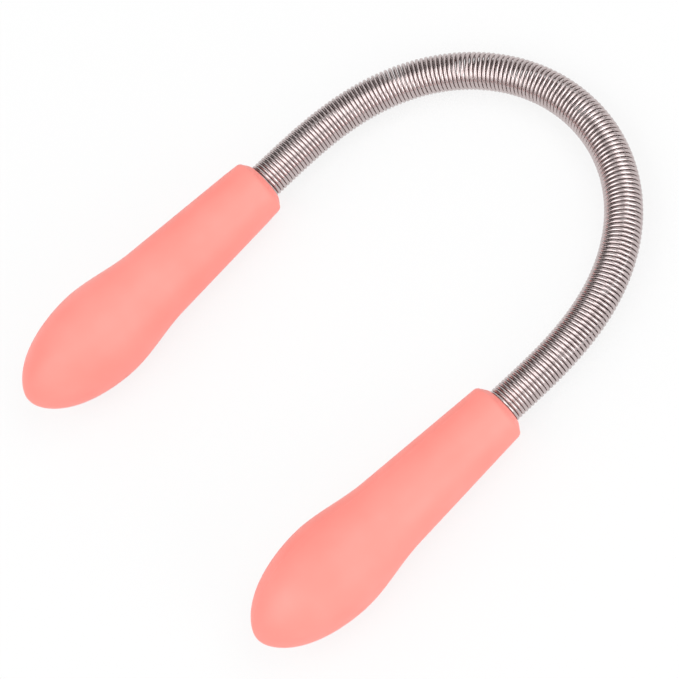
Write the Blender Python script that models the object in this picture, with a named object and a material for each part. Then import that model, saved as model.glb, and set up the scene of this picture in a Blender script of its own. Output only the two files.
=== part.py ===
"""Facial hair removal spring: two moulded handles on the ends of one close coil spring.

The spring lies bent into an arch, its two legs parallel, and each leg ends in a handle. +Y points
from the handles to the apex of the arch, +X to the right handle and +Z up from the table that the
tool lies on, on its two bulbs and its apex. All sizes are in metres.

The coil is one wire. It is parted at twelve places, each on the axis of a hinge, so that the
spring can bend: every section of the coil is an unbroken helical tube.
"""
import math

import bmesh
import bpy
import numpy as np
from mathutils import Vector

# Gap between pieces that touch on the real tool
CLEARANCE = 0.0003

# Coil: outer diameter, wire, and the centreline from collar to collar
COIL_DIAMETER = 0.0073
WIRE_DIAMETER = 0.00076
VISIBLE_LENGTH = 0.1395
CURL_PITCH = 0.00175
CURLS_IN_HANDLE = 4
CURL_POINTS = 8
END_RUN_SHARE = 1.5

# Arch: its whole bend, and how its curvature falls from the apex to the collars, where it is
# 1 - CURVATURE_FALL_SHARE of the apex's
ARCH_BEND = math.pi
CURVATURE_FALL_SHARE = 1.17
CURVATURE_POWER = 3.2
HINGES_PER_LEG = 6
ARCH_STEPS = 800

# Handle: places along its axis are measured from the tip
HANDLE_LENGTH = 0.0612
BULB_FROM_TIP = 0.0185
BULB_RADIUS = 0.0094
WAIST_FROM_TIP = 0.0330
WAIST_RADIUS = 0.0075
COLLAR_RADIUS = 0.0058
COLLAR_EDGE_RADIUS = 0.0013
CROWN_SLOPE = math.radians(35)
RIM_WIDTH = 0.0006
TIP_POWER = 1.9
HANDLE_SIDES = 40
BULB_POINTS = 11
SHOULDER_POINTS = 7
EDGE_POINTS = 4

# Turned pieces: edges sharper than this stay sharp, and points this near are one
SHARP_ANGLE = math.radians(35)
MERGE_SHARE = 0.01

# Anchor: a stepped plug behind the coil's end, its shank in the handle, its spigot in the coil
ANCHOR_SHANK_RADIUS = 0.0022
ANCHOR_SHANK_LENGTH = 0.0120
ANCHOR_FLANGE_THICKNESS = 0.0012
ANCHOR_SPIGOT_SETBACK = 0.0010
ANCHOR_CHAMFER = 0.0004
ANCHOR_SIDES = 24

# Finishes: colour, roughness, metallic
HANDLE_FINISH = ((0.98, 0.32, 0.27, 1), 0.45, 0)
SPRING_FINISH = ((0.54, 0.47, 0.46, 1), 0.22, 1)
ANCHOR_FINISH = ((0.80, 0.80, 0.78, 1), 0.50, 0)

# Sizes that follow
WIRE_RADIUS = WIRE_DIAMETER / 2
HALF_LENGTH = VISIBLE_LENGTH / 2
HALF_BEND = ARCH_BEND / 2
HINGE_BEND = HALF_BEND / HINGES_PER_LEG
POINT_STEP = math.tau / CURL_POINTS
QUARTER_TURN = math.tau / 4
MEAN_RADIUS = (COIL_DIAMETER - WIRE_DIAMETER) / 2
# A curl's corners stand out enough to give it the length of a round curl
CORNER_RADIUS = MEAN_RADIUS * (POINT_STEP / 2) / math.sin(POINT_STEP / 2)
FLAT_RADIUS = CORNER_RADIUS * math.cos(POINT_STEP / 2)
END_RUN = WIRE_DIAMETER * END_RUN_SHARE
COIL_DEPTH = CURLS_IN_HANDLE * CURL_PITCH
BORE_RADIUS = CORNER_RADIUS + WIRE_RADIUS + CLEARANCE
FLANGE_FACE = COIL_DEPTH + END_RUN + CLEARANCE
SHANK_FACE = FLANGE_FACE + ANCHOR_FLANGE_THICKNESS
BORE_DEPTH = SHANK_FACE + CLEARANCE
SHANK_END = SHANK_FACE + ANCHOR_SHANK_LENGTH


def clear_scene():
    """Remove every object of the open file."""
    for old in list(bpy.data.objects):
        bpy.data.objects.remove(old, do_unlink=True)


def add_finish(piece, finish):
    """Give a piece a material of its own."""
    colour, roughness, metallic = finish
    material = bpy.data.materials.new(piece.name + "_finish")
    material.use_nodes = True
    shader = material.node_tree.nodes["Principled BSDF"]
    shader.inputs["Base Color"].default_value = colour
    shader.inputs["Roughness"].default_value = roughness
    shader.inputs["Metallic"].default_value = metallic
    piece.data.materials.append(material)


def place(piece, parent, location, rotation=(0, 0, 0)):
    """Link a piece to the scene under its parent."""
    bpy.context.collection.objects.link(piece)
    piece.parent = parent
    piece.location = location
    piece.rotation_euler = rotation
    return piece


# The arch's centreline, in the plane of the arch: x across, y towards the apex


def bend_at(run):
    """Angle turned from the apex to a place on the centreline, by its signed distance."""
    share = np.minimum(np.abs(run) / HALF_LENGTH, 1)
    order = CURVATURE_POWER + 1
    turned = share - CURVATURE_FALL_SHARE * share ** order / order
    whole = 1 - CURVATURE_FALL_SHARE / order
    return np.sign(run) * HALF_BEND * turned / whole


def centreline_table():
    """Distances from the apex to a collar, with the bend and the place at each."""
    runs = np.linspace(0, HALF_LENGTH, ARCH_STEPS)
    bends = bend_at(runs)
    steps = np.diff(runs)
    middles = (bends[1:] + bends[:-1]) / 2
    across = np.concatenate(([0], np.cumsum(np.cos(middles) * steps)))
    back = np.concatenate(([0], np.cumsum(np.sin(middles) * steps)))
    return runs, bends, across, back


RUNS, BENDS, ACROSS, BACK = centreline_table()


def centre_at(run):
    """Place, direction and outward normal of the centreline, straight on past the collars."""
    bend = float(bend_at(run))
    direction = Vector((math.cos(bend), -math.sin(bend), 0))
    outward = Vector((math.sin(bend), math.cos(bend), 0))
    side = math.copysign(1, run)
    inside = min(abs(run), HALF_LENGTH)
    x = side * float(np.interp(inside, RUNS, ACROSS))
    y = -float(np.interp(inside, RUNS, BACK))
    beyond = side * (abs(run) - inside)
    return Vector((x, y, 0)) + direction * beyond, direction, outward


def hinge_run(number):
    """Distance from the apex to a leg's hinge, where the bend is half a hinge past a whole."""
    rising = int(np.argmax(BENDS)) + 1
    return float(np.interp((number - 0.5) * HINGE_BEND, BENDS[:rising], RUNS[:rising]))


# The coil: its sections run from the left handle to the right one


def section_limits():
    """Where each section of the coil starts and ends along the centreline."""
    hinges = [hinge_run(number) for number in range(1, HINGES_PER_LEG + 1)]
    end = HALF_LENGTH + COIL_DEPTH
    limits = [-end] + [-run for run in reversed(hinges)] + hinges + [end]
    return list(zip(limits[:-1], limits[1:]))


def curl_corners(start, end):
    """Corners of the whole curls between two places; both ends of the stretch are on top."""
    curls = max(1, round((end - start) / CURL_PITCH))
    corners = []
    for index in range(curls * CURL_POINTS):
        turned = (index + 0.5) * POINT_STEP
        run = start + (end - start) * turned / (curls * math.tau)
        centre, _, outward = centre_at(run)
        phase = QUARTER_TURN + turned
        reach = outward * math.cos(phase) + Vector((0, 0, math.sin(phase)))
        corners.append(centre + reach * CORNER_RADIUS)
    return corners


def coil_paths():
    """The wire's path through each section, parted by a clearance at each hinge."""
    limits = section_limits()
    paths = [curl_corners(start, end) for start, end in limits]
    for left, right in zip(paths[:-1], paths[1:]):
        along = (right[0] - left[-1]).normalized()
        middle = (right[0] + left[-1]) / 2
        left.append(middle - along * CLEARANCE / 2)
        right.insert(0, middle + along * CLEARANCE / 2)
    first, last = limits[0][0], limits[-1][1]
    paths[0].insert(0, paths[0][0] - centre_at(first)[1] * END_RUN)
    paths[-1].append(paths[-1][-1] + centre_at(last)[1] * END_RUN)
    return limits, paths


def least_gap(path):
    """Least gap between the curls of one section, from points along its wire."""
    corners = np.array([tuple(point) for point in path])
    shares = np.arange(CURL_POINTS)[:, None] / CURL_POINTS
    edges = [a + (b - a) * shares for a, b in zip(corners[:-1], corners[1:])]
    points = np.concatenate(edges)
    half_curl = CURL_POINTS * CURL_POINTS // 2
    apart = np.linalg.norm(points[:, None] - points[None], axis=2)
    place_apart = np.abs(np.subtract.outer(np.arange(len(points)), np.arange(len(points))))
    return float(apart[place_apart > half_curl].min()) - WIRE_DIAMETER


def add_coil_sections(frame):
    """One node for each section, its origin on the hinge that joins it to the section nearer
    the apex."""
    limits, paths = coil_paths()
    gaps = []
    for number, ((start, end), path) in enumerate(zip(limits, paths), 1):
        nearest = start if start > 0 else min(end, 0)
        origin = centre_at(nearest)[0]
        name = f"coil_spring_{number:02d}"
        curve = bpy.data.curves.new(name, "CURVE")
        curve.dimensions = "3D"
        curve.bevel_depth = WIRE_RADIUS
        curve.bevel_resolution = 1
        curve.use_fill_caps = True
        spline = curve.splines.new("POLY")
        spline.points.add(len(path) - 1)
        for point, place_on_wire in zip(spline.points, path):
            point.co = (*(place_on_wire - origin), 1)
        piece = place(bpy.data.objects.new(name, curve), frame, origin)
        add_finish(piece, SPRING_FINISH)
        gaps.append(least_gap(path))
    print(f"least gap of the coil to itself: {min(gaps) * 1000:.3f} mm")


# Turned pieces: an outline of (radius, height) points spun about the piece's own Z axis


def turned_piece(name, outline, sides):
    """Spin an outline that starts and ends on the axis."""
    mesh = bpy.data.meshes.new(name)
    work = bmesh.new()
    corners = [work.verts.new((radius, 0, height)) for radius, height in outline]
    edges = [work.edges.new(pair) for pair in zip(corners[:-1], corners[1:])]
    bmesh.ops.spin(work, geom=corners + edges, cent=(0, 0, 0), axis=(0, 0, 1), angle=math.tau,
                   steps=sides, use_merge=True)
    bmesh.ops.remove_doubles(work, verts=work.verts, dist=CLEARANCE * MERGE_SHARE)
    bmesh.ops.recalc_face_normals(work, faces=work.faces)
    work.to_mesh(mesh)
    work.free()
    mesh.shade_smooth()
    mesh.set_sharp_from_angle(angle=SHARP_ANGLE)
    return bpy.data.objects.new(name, mesh)


def handle_outline():
    """From the tip over the bulb, waist and neck to the collar's crown, then up the bore."""
    outline = [(0, HANDLE_LENGTH)]
    for index in range(1, BULB_POINTS + 1):
        angle = QUARTER_TURN * index / BULB_POINTS
        from_bulb = math.cos(angle)
        radius = BULB_RADIUS * math.sqrt(1 - from_bulb ** TIP_POWER) if from_bulb > 0 else BULB_RADIUS
        outline.append((radius, HANDLE_LENGTH - BULB_FROM_TIP * (1 - from_bulb)))
    taper = (WAIST_RADIUS - COLLAR_RADIUS) / (HANDLE_LENGTH - WAIST_FROM_TIP)
    reach = WAIST_FROM_TIP - BULB_FROM_TIP
    for index in range(1, SHOULDER_POINTS + 1):
        share = index / SHOULDER_POINTS
        blend = share ** 2 * (3 - 2 * share)
        lean = share ** 2 * (share - 1) * reach * -taper
        radius = BULB_RADIUS + (WAIST_RADIUS - BULB_RADIUS) * blend + lean
        outline.append((radius, HANDLE_LENGTH - BULB_FROM_TIP - reach * share))
    # The crown rises from the rounded edge to a flat rim round the bore
    edge_turn = QUARTER_TURN - CROWN_SLOPE
    crown_radius = COLLAR_RADIUS - COLLAR_EDGE_RADIUS * (1 - math.cos(edge_turn))
    crown_height = (crown_radius - BORE_RADIUS - RIM_WIDTH) * math.tan(CROWN_SLOPE)
    for index in range(EDGE_POINTS + 1):
        angle = edge_turn * index / EDGE_POINTS
        beyond = COLLAR_EDGE_RADIUS * (math.sin(edge_turn) - math.sin(angle))
        inset = COLLAR_EDGE_RADIUS * (math.cos(angle) - math.cos(edge_turn))
        outline.append((crown_radius + inset, crown_height + beyond))
    pocket_radius = ANCHOR_SHANK_RADIUS + CLEARANCE
    pocket_depth = SHANK_END + CLEARANCE
    outline += [(BORE_RADIUS + RIM_WIDTH, 0), (BORE_RADIUS, 0), (BORE_RADIUS, BORE_DEPTH),
                (pocket_radius, BORE_DEPTH), (pocket_radius, pocket_depth), (0, pocket_depth)]
    return outline


def anchor_outline():
    """From the shank's end over the flange to the end of the spigot, near the collar."""
    flange_radius = BORE_RADIUS - CLEARANCE
    spigot_radius = FLAT_RADIUS - WIRE_RADIUS - CLEARANCE
    chamfer = ANCHOR_CHAMFER
    return [(0, SHANK_END), (ANCHOR_SHANK_RADIUS - chamfer, SHANK_END),
            (ANCHOR_SHANK_RADIUS, SHANK_END - chamfer), (ANCHOR_SHANK_RADIUS, SHANK_FACE),
            (flange_radius, SHANK_FACE), (flange_radius, FLANGE_FACE),
            (spigot_radius, FLANGE_FACE), (spigot_radius, ANCHOR_SPIGOT_SETBACK + chamfer),
            (spigot_radius - chamfer, ANCHOR_SPIGOT_SETBACK), (0, ANCHOR_SPIGOT_SETBACK)]


def add_turned_pieces(frame):
    """Handles and anchors, each with its origin on its roll axis at the collar's end face."""
    for side, run in (("left", -HALF_LENGTH), ("right", HALF_LENGTH)):
        collar, direction, _ = centre_at(run)
        away = direction * math.copysign(1, run)
        turn = math.atan2(away.y, away.x) + QUARTER_TURN
        rotation = (QUARTER_TURN, 0, turn)
        handle = turned_piece(side + "_handle", handle_outline(), HANDLE_SIDES)
        add_finish(place(handle, frame, collar, rotation), HANDLE_FINISH)
        anchor = turned_piece(side + "_spring_anchor", anchor_outline(), ANCHOR_SIDES)
        add_finish(place(anchor, frame, collar, rotation), ANCHOR_FINISH)


def add_frame():
    """The arch's plane: it rises from the apex, which lies on the coil, to the fatter bulbs."""
    coil_rest = COIL_DIAMETER / 2
    apex_to_collar = float(BACK[-1])
    rims = [(radius, apex_to_collar + height) for radius, height in handle_outline()]
    # The steepest of the planes that touch the coil at the apex and a rim of the handle
    incline = max(math.acos(coil_rest / math.hypot(radius, back)) - math.atan2(back, radius)
                  for radius, back in rims)
    reach = max(back * math.cos(incline) + radius * math.sin(incline) for radius, back in rims)
    middle = (reach - coil_rest) / 2
    frame = place(bpy.data.objects.new("arch_frame", None), None, (0, middle, coil_rest))
    frame.rotation_euler = (-incline, 0, 0)
    return frame


def main():
    """Build the tool."""
    clear_scene()
    frame = add_frame()
    add_turned_pieces(frame)
    add_coil_sections(frame)
    bpy.context.view_layer.update()


main()
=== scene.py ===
"""Facial hair removal spring, dressed: a close-wound steel coil between two moulded handles.

Sizes are in metres, apart from the camera's lens and sensor, which Blender has in millimetres.
Places on the arch are in the arch's own plane: x across to the right handle, y from the handles
towards the apex, z out of the plane, with the apex at the origin.
"""
import math

import bpy
import numpy as np
from mathutils import Matrix, Quaternion, Vector


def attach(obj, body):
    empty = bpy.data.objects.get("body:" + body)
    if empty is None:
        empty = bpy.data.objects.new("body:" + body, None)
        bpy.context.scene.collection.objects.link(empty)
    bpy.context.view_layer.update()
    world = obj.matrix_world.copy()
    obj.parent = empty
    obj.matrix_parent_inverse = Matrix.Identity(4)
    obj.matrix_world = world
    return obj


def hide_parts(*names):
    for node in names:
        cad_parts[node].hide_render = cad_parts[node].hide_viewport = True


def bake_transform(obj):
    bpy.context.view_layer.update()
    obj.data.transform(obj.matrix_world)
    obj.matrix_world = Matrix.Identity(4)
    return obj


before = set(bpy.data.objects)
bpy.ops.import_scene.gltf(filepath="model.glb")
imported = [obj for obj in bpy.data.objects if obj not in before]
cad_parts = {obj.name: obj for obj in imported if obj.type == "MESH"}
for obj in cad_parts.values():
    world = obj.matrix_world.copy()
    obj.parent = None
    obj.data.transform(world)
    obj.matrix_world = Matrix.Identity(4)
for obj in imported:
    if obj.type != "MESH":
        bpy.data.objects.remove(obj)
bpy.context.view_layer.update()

# Coil: outer diameter, wire, and the pitch at which the inner curls all but touch; near the apex
# they stand a little apart
COIL_DIAMETER = 0.0073
WIRE_DIAMETER = 0.000755
WIRE_PITCH = 0.00076
APEX_OPENING = 0.00007
APEX_OPENING_REACH = 0.026
VISIBLE_LENGTH = 0.1395
COIL_DEPTH = 0.0078
WIRE_SIDES = 12
CURL_POINTS = 28
NUDGE_SHARE = 0.25

# Arch: its whole bend, and how its curvature falls from the apex to the collars
ARCH_BEND = math.pi
CURVATURE_FALL_SHARE = 1.17
CURVATURE_POWER = 3.2
HINGES_PER_LEG = 6
SECTIONS = 2 * HINGES_PER_LEG + 1
ARCH_STEPS = 4000
ARCH_PLACE = (0, 0.0541701, 0.00365)
ARCH_INCLINE = math.radians(-3.5303)

# Handle: its bulb and waist are placed from the tip, and its depths are from the collar's face
HANDLE_LENGTH = 0.0612
BULB_FROM_TIP = 0.0185
BULB_RADIUS = 0.0094
WAIST_FROM_TIP = 0.0330
WAIST_RADIUS = 0.0075
COLLAR_RADIUS = 0.0058
COLLAR_EDGE_RADIUS = 0.0013
CROWN_SLOPE_AT_BORE = math.radians(30)
CROWN_SLOPE_AT_EDGE = math.radians(40)
RIM_EDGE_RADIUS = 0.00025
LIP_RADIUS = 0.00372
LIP_DEPTH = 0.0008
BORE_RADIUS = 0.00403
BORE_DEPTH = 0.00994
POCKET_RADIUS = 0.0025
POCKET_DEPTH = 0.02194
TIP_POWER = 1.9
TIP_FINENESS = 0.12
TIP_REACH_POWER = 8
HANDLE_COLUMNS = 96
BULB_RINGS = 44
SHOULDER_RINGS = 26
NECK_RINGS = 10
EDGE_RINGS = 8
CROWN_RINGS = 6

# Parting line of the mould: a fine raised line on two opposite sides of each handle, with its
# columns as shares of its half width and of its height
SEAM_HEIGHT = 0.00007
SEAM_WIDTH = 0.00040
SEAM_SHARES = ((-2, 0.0), (-1, 0.5), (0, 1.0), (1, 0.5), (2, 0.0))
SEAM_TURNS = {"left": math.radians(150), "right": math.radians(119)}
SHARP_ANGLE = math.radians(40)

WIRE_RADIUS = WIRE_DIAMETER / 2
MEAN_RADIUS = (COIL_DIAMETER - WIRE_DIAMETER) / 2
HALF_LENGTH = VISIBLE_LENGTH / 2
HALF_BEND = ARCH_BEND / 2
HINGE_BEND = HALF_BEND / HINGES_PER_LEG
NECK_TAPER = (WAIST_RADIUS - COLLAR_RADIUS) / (HANDLE_LENGTH - WAIST_FROM_TIP)
QUARTER_TURN = math.pi / 2
ARCH = Matrix.Translation(ARCH_PLACE) @ Matrix.Rotation(ARCH_INCLINE, 4, "X")

# Handle plastic: two shades of the clouding, and how many noise cells fill a metre
HANDLE_SHADES = ((0.970, 0.274, 0.231), (0.990, 0.302, 0.258))
HANDLE_CLOUD_SCALE = 90
HANDLE_FLOW_SCALE = 320
HANDLE_GRAIN_SCALE = 2600
HANDLE_ROUGHNESS = (0.40, 0.52)
HANDLE_FLOW_RELIEF = (0.10, 0.0002)
HANDLE_GRAIN_RELIEF = (0.12, 0.00004)
HANDLE_IOR = 1.46
HANDLE_GLOSS = 0.42

# Wire steel: the streaks run along the wire, so their noise is stretched that way
WIRE_SHADES = ((0.514, 0.436, 0.428), (0.580, 0.501, 0.497))
WIRE_STRETCH = (0.04, 1, 1)
WIRE_STREAK_SCALE = 7000
WIRE_STAIN_SCALE = 260
WIRE_ROUGHNESS = (0.20, 0.29)
WIRE_RELIEF = (0.07, 0.00001)

# Anchor plastic
ANCHOR_SHADES = ((0.60, 0.60, 0.57), (0.68, 0.68, 0.65))
ANCHOR_CLOUD_SCALE = 240
ANCHOR_GRAIN_SCALE = 2200
ANCHOR_ROUGHNESS = (0.45, 0.60)
ANCHOR_RELIEF = (0.2, 0.00005)

# Noise: its detail, and the stretch of its values that fills a ramp or a range
FINE_DETAIL = 3.0
COARSE_DETAIL = 2.0
DETAIL_ROUGHNESS = 0.55
CLOUD_SPREAD = (0.30, 0.70)
STAIN_SPREAD = (0.30, 0.72)


# Node helpers


def new_material(name):
    """A new node material, with its nodes, its links and its shader."""
    material = bpy.data.materials.new(name)
    material.use_nodes = True
    nodes = material.node_tree.nodes
    return material, nodes, material.node_tree.links, nodes["Principled BSDF"]


def add_node(nodes, kind, **settings):
    """A node with its settings, and its sockets' values by name."""
    values = settings.pop("values", {})
    node = nodes.new(kind)
    for key, value in settings.items():
        setattr(node, key, value)
    for key, value in values.items():
        node.inputs[key].default_value = value
    return node


def noise(nodes, links, source, scale, detail=FINE_DETAIL):
    """Noise over a place."""
    node = add_node(nodes, "ShaderNodeTexNoise",
                    values={"Scale": scale, "Detail": detail, "Roughness": DETAIL_ROUGHNESS})
    links.new(source, node.inputs["Vector"])
    return node.outputs["Fac"]


def spread(nodes, links, source, limits):
    """A noise value moved to a range of its own."""
    start, end = CLOUD_SPREAD
    low, high = limits
    node = add_node(nodes, "ShaderNodeMapRange",
                    values={"From Min": start, "From Max": end, "To Min": low, "To Max": high})
    links.new(source, node.inputs["Value"])
    return node.outputs["Result"]


def ramp(nodes, links, source, places, shades):
    """A value turned into a blend of two shades."""
    node = nodes.new("ShaderNodeValToRGB")
    for element, place, shade in zip(node.color_ramp.elements, places, shades):
        element.position = place
        element.color = (*shade, 1)
    links.new(source, node.inputs["Fac"])
    return node.outputs["Color"]


def bump(nodes, links, source, relief, under=None):
    """Relief from a value, by its strength and distance, over the relief under it."""
    strength, distance = relief
    node = add_node(nodes, "ShaderNodeBump", values={"Strength": strength, "Distance": distance})
    links.new(source, node.inputs["Height"])
    if under:
        links.new(under, node.inputs["Normal"])
    return node.outputs["Normal"]


def handle_finish():
    """Satin salmon plastic: a soft clouding of the colour, and a fine moulded grain."""
    material, nodes, links, shader = new_material("satin_salmon_plastic")
    place = nodes.new("ShaderNodeTexCoord").outputs["Object"]
    cloud = noise(nodes, links, place, HANDLE_CLOUD_SCALE, COARSE_DETAIL)
    grain = noise(nodes, links, place, HANDLE_GRAIN_SCALE)
    flow = noise(nodes, links, place, HANDLE_FLOW_SCALE)
    links.new(ramp(nodes, links, cloud, CLOUD_SPREAD, HANDLE_SHADES), shader.inputs["Base Color"])
    links.new(spread(nodes, links, flow, HANDLE_ROUGHNESS), shader.inputs["Roughness"])
    under = bump(nodes, links, flow, HANDLE_FLOW_RELIEF)
    links.new(bump(nodes, links, grain, HANDLE_GRAIN_RELIEF, under), shader.inputs["Normal"])
    shader.inputs["IOR"].default_value = HANDLE_IOR
    shader.inputs["Specular IOR Level"].default_value = HANDLE_GLOSS
    return material


def wire_finish():
    """Bright drawn steel: streaks along the wire and a faint warm stain."""
    material, nodes, links, shader = new_material("bright_drawn_steel")
    place = add_node(nodes, "ShaderNodeAttribute", attribute_name="wire_place").outputs["Vector"]
    stretch = add_node(nodes, "ShaderNodeMapping", values={"Scale": WIRE_STRETCH})
    links.new(place, stretch.inputs["Vector"])
    streak = noise(nodes, links, stretch.outputs["Vector"], WIRE_STREAK_SCALE, COARSE_DETAIL)
    stain = noise(nodes, links, place, WIRE_STAIN_SCALE)
    links.new(ramp(nodes, links, stain, STAIN_SPREAD, WIRE_SHADES), shader.inputs["Base Color"])
    links.new(spread(nodes, links, streak, WIRE_ROUGHNESS), shader.inputs["Roughness"])
    links.new(bump(nodes, links, streak, WIRE_RELIEF), shader.inputs["Normal"])
    shader.inputs["Metallic"].default_value = 1.0
    return material


def anchor_finish():
    """Plain pale moulded plastic with a dull grain."""
    material, nodes, links, shader = new_material("plain_pale_plastic")
    place = nodes.new("ShaderNodeTexCoord").outputs["Object"]
    cloud = noise(nodes, links, place, ANCHOR_CLOUD_SCALE)
    grain = noise(nodes, links, place, ANCHOR_GRAIN_SCALE)
    links.new(ramp(nodes, links, cloud, CLOUD_SPREAD, ANCHOR_SHADES), shader.inputs["Base Color"])
    links.new(spread(nodes, links, grain, ANCHOR_ROUGHNESS), shader.inputs["Roughness"])
    links.new(bump(nodes, links, grain, ANCHOR_RELIEF), shader.inputs["Normal"])
    return material


# The arch's centreline


def bend_at(run):
    """Angle turned from the apex to a place on the centreline, by its signed distance."""
    share = np.minimum(np.abs(run) / HALF_LENGTH, 1)
    order = CURVATURE_POWER + 1
    turned = share - CURVATURE_FALL_SHARE * share ** order / order
    whole = 1 - CURVATURE_FALL_SHARE / order
    return np.sign(run) * HALF_BEND * turned / whole


def centreline_table():
    """Distances from the apex to a collar, with the bend, the place and the wire's turns."""
    runs = np.linspace(0, HALF_LENGTH, ARCH_STEPS)
    bends = bend_at(runs)
    steps = np.diff(runs)
    middles = (bends[1:] + bends[:-1]) / 2
    across = np.concatenate(([0], np.cumsum(np.cos(middles) * steps)))
    back = np.concatenate(([0], np.cumsum(np.sin(middles) * steps)))
    inner_steps = steps - MEAN_RADIUS * np.abs(np.diff(bends))
    halfway = (runs[1:] + runs[:-1]) / 2
    pitches = WIRE_PITCH + APEX_OPENING * np.exp(-(halfway / APEX_OPENING_REACH) ** 2)
    turns = np.concatenate(([0], np.cumsum(inner_steps / pitches)))
    return runs, bends, across, back, turns


RUNS, BENDS, ACROSS, BACK, TURNS = centreline_table()


def turns_at(run):
    """Turns of wire between the apex and a place, signed."""
    beyond = max(abs(run) - HALF_LENGTH, 0)
    return math.copysign(float(np.interp(abs(run), RUNS, TURNS)) + beyond / WIRE_PITCH, run)


def runs_at(turns):
    """Places along the centreline, by the wire's turns from the apex."""
    beyond = np.maximum(np.abs(turns) - TURNS[-1], 0)
    return np.sign(turns) * (np.interp(np.abs(turns), TURNS, RUNS) + beyond * WIRE_PITCH)


def centres_at(runs):
    """Places and outward normals of the centreline, straight on past the collars."""
    bends = bend_at(runs)
    sides = np.sign(runs)
    inside = np.minimum(np.abs(runs), HALF_LENGTH)
    beyond = runs - sides * inside
    x = sides * np.interp(inside, RUNS, ACROSS) + beyond * np.cos(bends)
    y = -np.interp(inside, RUNS, BACK) - beyond * np.sin(bends)
    zeros = np.zeros_like(x)
    return np.stack((x, y, zeros), 1), np.stack((np.sin(bends), np.cos(bends), zeros), 1)


def hinge_runs():
    """Distances from the apex to the hinges of a leg, where its bend still grows."""
    rising = int(np.argmax(BENDS)) + 1
    bends = [(number - 0.5) * HINGE_BEND for number in range(1, HINGES_PER_LEG + 1)]
    return [float(np.interp(bend, BENDS[:rising], RUNS[:rising])) for bend in bends]


# Meshes


def add_mesh(name, points, faces, finish, flat_from=None):
    """A smooth mesh object; its faces from flat_from on are flat and end in sharp edges."""
    mesh = bpy.data.meshes.new(name)
    mesh.from_pydata([tuple(point) for point in points], [], faces)
    mesh.materials.append(finish)
    mesh.shade_smooth()
    if flat_from is not None:
        flat = range(flat_from, len(faces))
        rim = {edge for index in flat for edge in mesh.polygons[index].edge_keys}
        for index in flat:
            mesh.polygons[index].use_smooth = False
        for edge in mesh.edges:
            if edge.key in rim:
                edge.use_edge_sharp = True
    piece = bpy.data.objects.new(name, mesh)
    bpy.context.collection.objects.link(piece)
    return piece


def wire_points(turns):
    """Points of the wire's middle line, and the way that each faces out of the coil."""
    centres, outward = centres_at(runs_at(turns))
    phases = (turns * math.tau)[:, None]
    facing = outward * np.cos(phases) + np.array((0, 0, 1)) * np.sin(phases)
    return centres + facing * MEAN_RADIUS, facing


def wire_tube(start, end):
    """Round tube of the wire between two places on the centreline, with the wire's own places."""
    first, last = turns_at(start), turns_at(end)
    count = max(2, round(abs(last - first) * CURL_POINTS)) + 1
    turns = np.linspace(first, last, count)
    middle, facing = wire_points(turns)
    nudge = NUDGE_SHARE / CURL_POINTS
    ahead = wire_points(turns + nudge)[0] - wire_points(turns - nudge)[0]
    ahead /= np.linalg.norm(ahead, axis=1)[:, None]
    facing = facing - ahead * np.sum(facing * ahead, axis=1)[:, None]
    facing /= np.linalg.norm(facing, axis=1)[:, None]
    beside = np.cross(ahead, facing)
    angles = np.arange(WIRE_SIDES) * math.tau / WIRE_SIDES
    round_x, round_y = np.cos(angles)[None, :, None], np.sin(angles)[None, :, None]
    spokes = facing[:, None] * round_x + beside[:, None] * round_y
    rings = middle[:, None] + spokes * WIRE_RADIUS
    points = rings.reshape(-1, 3) @ np.array(ARCH.to_3x3()).T + np.array(ARCH.translation)
    faces = []
    for ring in range(count - 1):
        here, there = ring * WIRE_SIDES, (ring + 1) * WIRE_SIDES
        for side in range(WIRE_SIDES):
            after = (side + 1) % WIRE_SIDES
            faces.append((here + side, here + after, there + after, there + side))
    caps_from = len(faces)
    faces.append(tuple(range(WIRE_SIDES))[::-1])
    faces.append(tuple(range((count - 1) * WIRE_SIDES, count * WIRE_SIDES)))
    curl_length = math.hypot(MEAN_RADIUS * math.tau, WIRE_PITCH)
    places = np.empty((count, WIRE_SIDES, 3))
    places[:, :, 0] = (turns * curl_length)[:, None]
    places[:, :, 1] = np.cos(angles)[None] * WIRE_RADIUS
    places[:, :, 2] = np.sin(angles)[None] * WIRE_RADIUS
    return points, faces, caps_from, places.reshape(-1, 3)


def add_wire(name, start, end, finish):
    """One stretch of the coil."""
    points, faces, caps_from, places = wire_tube(start, end)
    piece = add_mesh(name, points, faces, finish, caps_from)
    attribute = piece.data.attributes.new("wire_place", "FLOAT_VECTOR", "POINT")
    attribute.data.foreach_set("vector", places.astype(np.float32).ravel())
    return piece


def add_coil(finish):
    """The coil, in stretches from the middle of one section to the middle of the next."""
    hinges = hinge_runs()
    limits = [-HALF_LENGTH] + [-run for run in reversed(hinges)] + hinges + [HALF_LENGTH]
    middles = [(a + b) / 2 for a, b in zip(limits[:-1], limits[1:])]
    end = HALF_LENGTH + COIL_DEPTH
    sections = [f"coil_spring_{number:02d}" for number in range(1, SECTIONS + 1)]
    for number in range(1, SECTIONS):
        start, stop = middles[number - 1], middles[number]
        here, there = sections[number - 1], sections[number]
        piece = add_wire(f"coil_run_{number:02d}", start, stop, finish)
        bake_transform(piece)
        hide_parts(here, there)
    left = add_wire("coil_end_left", -end, middles[0], finish)
    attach(left, sections[0])
    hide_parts(sections[0])
    right = add_wire("coil_end_right", middles[-1], end, finish)
    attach(right, sections[-1])
    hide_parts(sections[-1])


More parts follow.
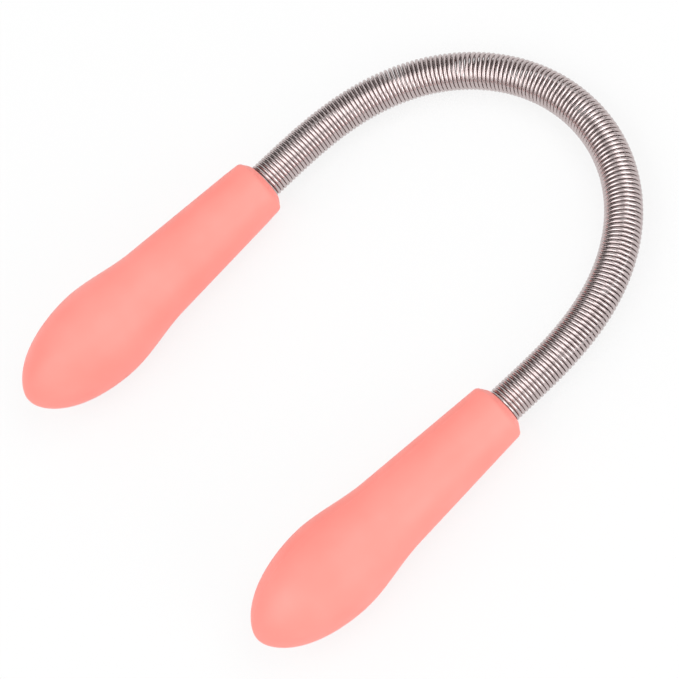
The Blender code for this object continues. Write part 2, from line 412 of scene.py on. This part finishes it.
def crown_profile():
    """The collar's domed end from its edge to the bore, and how far the edge lies below the rim."""
    rim_radius = LIP_RADIUS + RIM_EDGE_RADIUS * (1 + math.sin(CROWN_SLOPE_AT_BORE))
    edge_radius = COLLAR_RADIUS - COLLAR_EDGE_RADIUS * (1 - math.sin(CROWN_SLOPE_AT_EDGE))
    dome = [(rim_radius, RIM_EDGE_RADIUS * (1 - math.cos(CROWN_SLOPE_AT_BORE)))]
    step = (edge_radius - rim_radius) / CROWN_RINGS
    for index in range(CROWN_RINGS):
        share = (index + 0.5) / CROWN_RINGS
        slope = CROWN_SLOPE_AT_BORE + (CROWN_SLOPE_AT_EDGE - CROWN_SLOPE_AT_BORE) * share
        radius, height = dome[-1]
        dome.append((radius + step, height + step * math.tan(slope)))
    drop = dome[-1][1] + COLLAR_EDGE_RADIUS * math.cos(CROWN_SLOPE_AT_EDGE)
    centre = COLLAR_RADIUS + NECK_TAPER * drop - COLLAR_EDGE_RADIUS
    edge = []
    for index in range(EDGE_RINGS):
        angle = (QUARTER_TURN - CROWN_SLOPE_AT_EDGE) * index / EDGE_RINGS
        edge.append((centre + COLLAR_EDGE_RADIUS * math.cos(angle),
                     drop - COLLAR_EDGE_RADIUS * math.sin(angle)))
    rim = []
    for index in range(1, EDGE_RINGS + 1):
        angle = CROWN_SLOPE_AT_BORE - (CROWN_SLOPE_AT_BORE + QUARTER_TURN) * index / EDGE_RINGS
        rim.append((LIP_RADIUS + RIM_EDGE_RADIUS * (1 + math.sin(angle)),
                    RIM_EDGE_RADIUS * (1 - math.cos(angle))))
    return edge + dome[::-1] + rim, drop


def handle_profile():
    """(radius, height over the collar's face) from the tip to the collar, then up the bore."""
    profile = [(0.0, HANDLE_LENGTH)]
    for index in range(1, BULB_RINGS + 1):
        from_bulb = math.cos(QUARTER_TURN * index / BULB_RINGS) if index < BULB_RINGS else 0.0
        radius = BULB_RADIUS * math.sqrt(1 - from_bulb ** TIP_POWER)
        radius *= 1 - TIP_FINENESS * from_bulb ** TIP_REACH_POWER
        profile.append((radius, HANDLE_LENGTH - BULB_FROM_TIP * (1 - from_bulb)))
    reach = WAIST_FROM_TIP - BULB_FROM_TIP
    for index in range(1, SHOULDER_RINGS + 1):
        share = index / SHOULDER_RINGS
        blend = share ** 2 * (3 - 2 * share)
        lean = share ** 2 * (share - 1) * reach * -NECK_TAPER
        radius = BULB_RADIUS + (WAIST_RADIUS - BULB_RADIUS) * blend + lean
        profile.append((radius, HANDLE_LENGTH - BULB_FROM_TIP - reach * share))
    crown, edge_drop = crown_profile()
    neck_top = HANDLE_LENGTH - WAIST_FROM_TIP
    for index in range(1, NECK_RINGS):
        share = index / NECK_RINGS
        profile.append((WAIST_RADIUS + (crown[0][0] - WAIST_RADIUS) * share,
                        neck_top + (edge_drop - neck_top) * share))
    profile += crown
    profile += [(LIP_RADIUS, LIP_DEPTH), (BORE_RADIUS, LIP_DEPTH), (BORE_RADIUS, BORE_DEPTH),
                (POCKET_RADIUS, BORE_DEPTH), (POCKET_RADIUS, POCKET_DEPTH), (0.0, POCKET_DEPTH)]
    return profile


def seam_columns(seam_turn):
    """Angles of a handle's columns, and how much of the seam's height each one has."""
    half = SEAM_WIDTH / 2 / BULB_RADIUS
    steps = HANDLE_COLUMNS // 2
    columns = []
    for side in (0, math.pi):
        start = seam_turn + side
        columns += [(start + reach * half, share) for reach, share in SEAM_SHARES]
        columns += [(start + math.pi * index / steps, 0.0) for index in range(1, steps)]
    return columns


def turned_mesh(profile, columns, lift_to):
    """Points and faces of a profile turned about Z; rings up to lift_to carry the seam."""
    points, rings = [], []
    for index, (radius, height) in enumerate(profile):
        if radius == 0:
            rings.append([len(points)])
            points.append((0, 0, height))
            continue
        rings.append(list(range(len(points), len(points) + len(columns))))
        for angle, share in columns:
            lifted = radius + (SEAM_HEIGHT * share if index <= lift_to else 0)
            points.append((lifted * math.cos(angle), lifted * math.sin(angle), height))
    faces = []
    for upper, lower in zip(rings[:-1], rings[1:]):
        for side in range(len(columns)):
            after = (side + 1) % len(columns)
            if len(upper) == 1:
                faces.append((upper[0], lower[side], lower[after]))
            elif len(lower) == 1:
                faces.append((upper[side], lower[0], upper[after]))
            else:
                faces.append((upper[side], lower[side], lower[after], upper[after]))
    return points, faces


def add_handles(finish):
    """Both handles, each on its roll axis with its collar's face at the end of the arch."""
    profile = handle_profile()
    outer = BULB_RINGS + SHOULDER_RINGS + NECK_RINGS - 1
    for side, run in (("left", -HALF_LENGTH), ("right", HALF_LENGTH)):
        points, faces = turned_mesh(profile, seam_columns(SEAM_TURNS[side]), outer)
        corner, _ = centres_at(np.array((run,)))
        bend = float(bend_at(run))
        away = Vector((math.cos(bend), -math.sin(bend), 0)) * math.copysign(1, run)
        turn = math.atan2(away.y, away.x) + QUARTER_TURN
        upright = Matrix.Rotation(turn, 4, "Z") @ Matrix.Rotation(QUARTER_TURN, 4, "X")
        seat = ARCH @ Matrix.Translation(Vector(corner[0])) @ upright
        placed = [seat @ Vector(point) for point in points]
        piece = add_mesh(side + "_handle_shell", placed, faces, finish)
        piece.data.set_sharp_from_angle(angle=SHARP_ANGLE)
        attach(piece, side + "_handle")
        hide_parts(side + "_handle")


def dress_anchors(finish):
    """The hidden plugs keep their shape and get a finish."""
    for side in ("left", "right"):
        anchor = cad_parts[side + "_spring_anchor"]
        anchor.data.materials.clear()
        anchor.data.materials.append(finish)


# Floor, light and camera

CAMERA_AIM = (0.001467, -0.008531, 0.007518)
CAMERA_DISTANCE = 0.575850
CAMERA_TURN = math.radians(-6.3446)
CAMERA_TILT = math.radians(63.2272)
CAMERA_ROLL = math.radians(-39.0893)
CAMERA_LENS = 164.2162
CAMERA_SENSOR = 36
CAMERA_CLIP = (0.01, 20)
FLOOR_SIZE = 6.0
FLOOR_SHADE = 0.83
FLOOR_CLEARNESS = 0.82
WORLD_FILL = 0.57
WORLD_WHITE = 1.0
STUDIO_REACH = 1.4

# Lamps, a lamp that no gloss shows, and dark cards that only gloss shows: angle about Z, angle
# over the floor and angles filled across and up, all in degrees, then brightness
LAMPS = {"low_lamp": (15, 20, 32, 34, 2.7),
         "near_lamp": (60, 57, 44, 32, 2.1),
         "far_lamp": (272, 50, 50, 42, 1.85)}
FILL_LAMP = (188, 38, 56, 40, 0.50)
CARDS = {"back_card": (197, 24, 76, 46, 0.11),
         "low_card_left": (75, 8, 40, 14, 0.02),
         "low_card_right": (285, 6, 70, 10, 0.02),
         "high_card_left": (120, 65, 32, 20, 0.05),
         "high_card_right": (345, 47, 28, 18, 0.22),
         "high_card_back": (170, 60, 40, 24, 0.32)}


def seen_directly(nodes, links):
    """One where a ray comes from the camera, or from gloss or glass, and zero elsewhere."""
    path = nodes.new("ShaderNodeLightPath")
    either = add_node(nodes, "ShaderNodeMath", operation="MAXIMUM")
    links.new(path.outputs["Is Camera Ray"], either.inputs[0])
    links.new(path.outputs["Is Glossy Ray"], either.inputs[1])
    every = add_node(nodes, "ShaderNodeMath", operation="MAXIMUM")
    links.new(either.outputs[0], every.inputs[0])
    links.new(path.outputs["Is Transmission Ray"], every.inputs[1])
    return every.outputs[0]


def plane_corners(half_x, half_y):
    """Corners of a flat rectangle about the origin."""
    return [(-half_x, -half_y, 0), (half_x, -half_y, 0), (half_x, half_y, 0), (-half_x, half_y, 0)]


def half_reach(angle):
    """Half the width, at the lamps' distance, that fills an angle in degrees."""
    return STUDIO_REACH * math.tan(math.radians(angle) / 2)


def add_floor():
    """Pale floor that keeps a faint shadow; a handle that swings lower shows through it."""
    corners = plane_corners(FLOOR_SIZE / 2, FLOOR_SIZE / 2)
    material = bpy.data.materials.new("pale_floor")
    material.use_nodes = True
    nodes, links = material.node_tree.nodes, material.node_tree.links
    nodes.clear()
    output = nodes.new("ShaderNodeOutputMaterial")
    plain = add_node(nodes, "ShaderNodeBsdfDiffuse",
                     values={"Color": (FLOOR_SHADE, FLOOR_SHADE, FLOOR_SHADE, 1)})
    clear = nodes.new("ShaderNodeBsdfTransparent")
    share = add_node(nodes, "ShaderNodeMath", operation="MULTIPLY")
    share.inputs[1].default_value = FLOOR_CLEARNESS
    links.new(seen_directly(nodes, links), share.inputs[0])
    geometry = nodes.new("ShaderNodeNewGeometry")
    clearness = add_node(nodes, "ShaderNodeMath", operation="MAXIMUM")
    links.new(share.outputs[0], clearness.inputs[0])
    links.new(geometry.outputs["Backfacing"], clearness.inputs[1])
    mix = nodes.new("ShaderNodeMixShader")
    links.new(clearness.outputs[0], mix.inputs["Fac"])
    links.new(plain.outputs[0], mix.inputs[1])
    links.new(clear.outputs[0], mix.inputs[2])
    links.new(mix.outputs[0], output.inputs["Surface"])
    add_mesh("floor", corners, [(0, 1, 2, 3)], material)


def add_world():
    """Even pale surroundings that show as white."""
    world = bpy.data.worlds.new("studio")
    bpy.context.scene.world = world
    world.use_nodes = True
    nodes, links = world.node_tree.nodes, world.node_tree.links
    nodes.clear()
    output = nodes.new("ShaderNodeOutputWorld")
    fill = add_node(nodes, "ShaderNodeBackground",
                    values={"Color": (1, 1, 1, 1), "Strength": WORLD_FILL})
    white = add_node(nodes, "ShaderNodeBackground",
                     values={"Color": (1, 1, 1, 1), "Strength": WORLD_WHITE})
    mix = nodes.new("ShaderNodeMixShader")
    links.new(seen_directly(nodes, links), mix.inputs["Fac"])
    links.new(fill.outputs[0], mix.inputs[1])
    links.new(white.outputs[0], mix.inputs[2])
    links.new(mix.outputs[0], output.inputs["Surface"])


def stand(holder, turn, rise):
    """Set a lamp or card round the tool, by its angle about Z and over the floor, facing it."""
    turn, rise = math.radians(turn), math.radians(rise)
    back = Vector((math.cos(rise) * math.cos(turn), math.cos(rise) * math.sin(turn), math.sin(rise)))
    holder.location = back * STUDIO_REACH
    holder.rotation_mode = "QUATERNION"
    holder.rotation_quaternion = (-back).to_track_quat("-Z", "Y")


def add_lamp(name, turn, rise, across, up, brightness):
    """A soft lamp, its size given by the angles that it fills and its power by its brightness."""
    lamp = bpy.data.lights.new(name, "AREA")
    lamp.shape = "RECTANGLE"
    lamp.size = 2 * half_reach(across)
    lamp.size_y = 2 * half_reach(up)
    lamp.energy = brightness * math.pi * lamp.size * lamp.size_y
    holder = bpy.data.objects.new(name, lamp)
    bpy.context.collection.objects.link(holder)
    holder.visible_camera = False
    stand(holder, turn, rise)
    return holder


def add_card(name, turn, rise, across, up, shade):
    """A dark card that shows only in the gloss of the steel and the plastic."""
    corners = plane_corners(half_reach(across), half_reach(up))
    material = bpy.data.materials.new(name)
    material.use_nodes = True
    nodes, links = material.node_tree.nodes, material.node_tree.links
    nodes.clear()
    output = nodes.new("ShaderNodeOutputMaterial")
    felt = add_node(nodes, "ShaderNodeEmission", values={"Color": (1, 1, 1, 1), "Strength": shade})
    links.new(felt.outputs[0], output.inputs["Surface"])
    card = add_mesh(name, corners, [(0, 1, 2, 3)], material)
    card.visible_camera = False
    card.visible_diffuse = False
    card.visible_shadow = False
    stand(card, turn, rise)


def add_camera():
    """The camera, at the photograph's view angle."""
    data = bpy.data.cameras.new("camera")
    data.sensor_width = CAMERA_SENSOR
    data.lens = CAMERA_LENS
    data.clip_start, data.clip_end = CAMERA_CLIP
    camera = bpy.data.objects.new("camera", data)
    bpy.context.collection.objects.link(camera)
    flat = math.cos(CAMERA_TILT)
    back = Vector((flat * math.cos(CAMERA_TURN), flat * math.sin(CAMERA_TURN),
                   math.sin(CAMERA_TILT)))
    camera.location = Vector(CAMERA_AIM) + back * CAMERA_DISTANCE
    camera.rotation_mode = "QUATERNION"
    level = (-back).to_track_quat("-Z", "Y")
    camera.rotation_quaternion = level @ Quaternion((0, 0, 1), CAMERA_ROLL)
    bpy.context.scene.camera = camera


add_coil(wire_finish())
add_handles(handle_finish())
dress_anchors(anchor_finish())
add_floor()
add_world()
for lamp_name, lamp_plan in LAMPS.items():
    add_lamp(lamp_name, *lamp_plan)
add_lamp("back_fill", *FILL_LAMP).visible_glossy = False
for card_name, card_plan in CARDS.items():
    add_card(card_name, *card_plan)
add_camera()
bpy.context.scene.view_settings.view_transform = "Standard"
